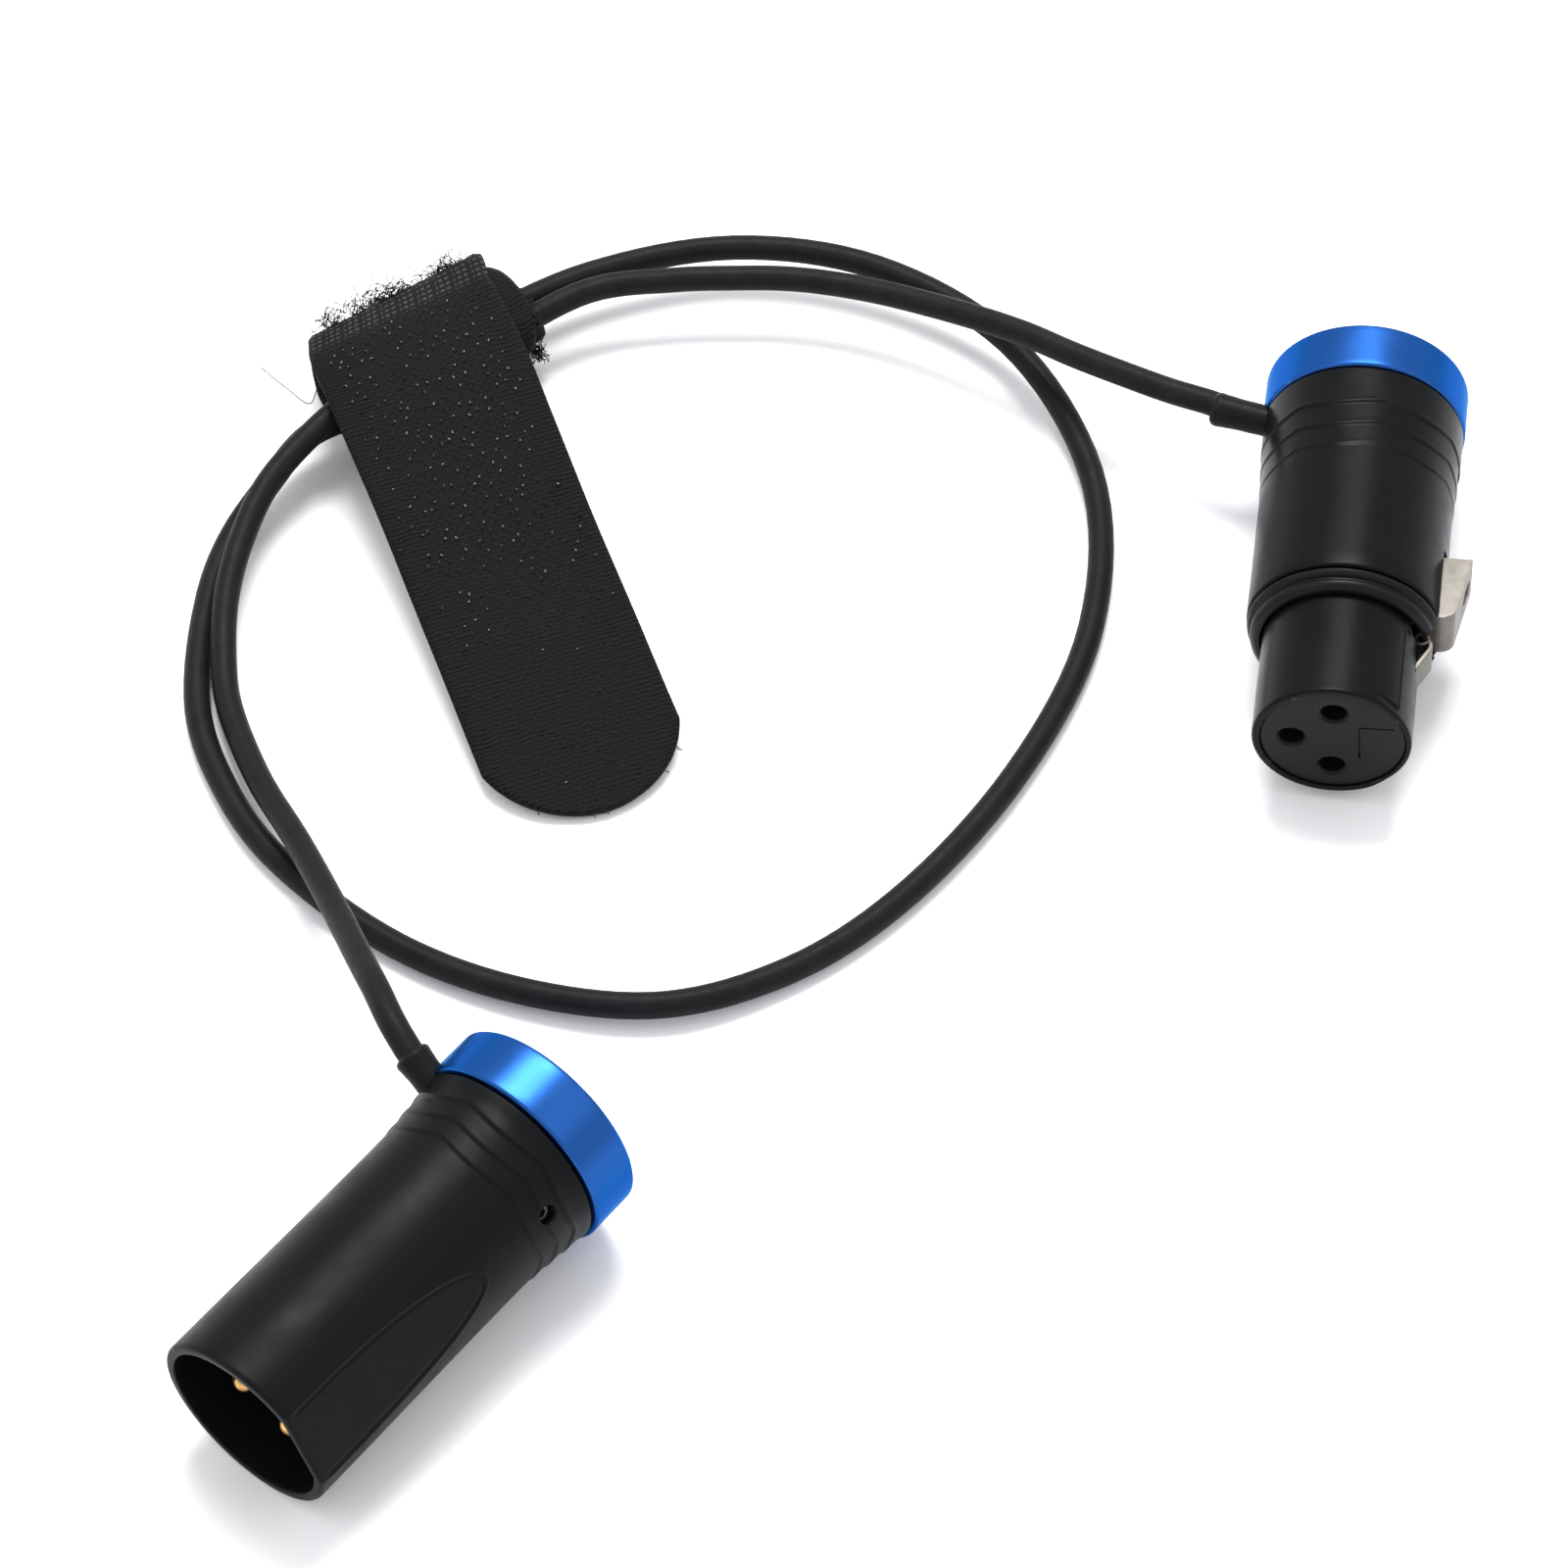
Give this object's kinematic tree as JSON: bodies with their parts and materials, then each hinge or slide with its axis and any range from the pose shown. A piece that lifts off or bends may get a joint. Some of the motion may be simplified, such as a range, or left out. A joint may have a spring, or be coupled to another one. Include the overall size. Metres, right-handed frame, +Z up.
{
  "type": "xlr cable coil",
  "caption": "Short microphone cable with low-profile female and male 3-pin connectors, coiled once and held by a hook-and-loop strap.",
  "frame": {"origin": "centre of the resting footprint of the connectors and strap, on the surface that the coil lies on", "axes": "+Z up from the surface; the male connector's mating face looks along -Y; +X is to the right seen from there"},
  "size_m": [0.1228, 0.1698, 0.0211],
  "materials": {
    "shell_black": "satin black anodised",
    "cap_blue": "bright blue anodised",
    "insert_plastic": "moulded",
    "ring_rubber": "smooth",
    "sleeve_rubber": "heat-shrunk, slightly glossy",
    "cable_jacket": "soft satin",
    "latch_nickel": "warm satin nickel",
    "contact_gold": "gold plated",
    "screw_steel": "blackened",
    "wire_insulation": "smooth",
    "strap_fabric": "woven ribs with hooks and loop pile"
  },
  "bodies": {
    "base": {"female_housing": "shell_black", "female_nose": "shell_black", "female_shoulder_ring": "ring_rubber", "female_insert": "insert_plastic", "female_cap": "cap_blue", "female_set_screw": "screw_steel", "female_sleeve": "sleeve_rubber", "latch_spring": "screw_steel", "female_contact_1": "contact_gold", "female_contact_2": "contact_gold", "female_contact_3": "contact_gold", "female_wire_1": "wire_insulation", "female_wire_2": "wire_insulation", "female_wire_3": "wire_insulation", "male_housing": "shell_black", "male_insert": "insert_plastic", "male_cap": "cap_blue", "male_set_screw": "screw_steel", "male_sleeve": "sleeve_rubber", "male_pin_1": "contact_gold", "male_pin_2": "contact_gold", "male_pin_3": "contact_gold", "male_wire_1": "wire_insulation", "male_wire_2": "wire_insulation", "male_wire_3": "wire_insulation", "cable": "cable_jacket", "strap_loop": "strap_fabric"},
    "latch_body": {"latch": "latch_nickel"},
    "tail_body": {"strap_tail": "strap_fabric"}
  },
  "joints": [
    {"name": "latch_press", "type": "hinge", "parent": "base", "child": "latch_body", "pos_m": [0.04825, 0.0649, 0.01052], "axis": [0.0368, 0.051, -0.998], "range_deg": [0, 5], "stiffness_Nm_per_rad": 0.3, "springref_deg": -2.86},
    {"name": "strap_lift", "type": "hinge", "parent": "base", "child": "tail_body", "pos_m": [-0.04558, 0.02035, 0.0085], "axis": [-0.5075, -0.8616, 0], "range_deg": [0, 100]}
  ]
}
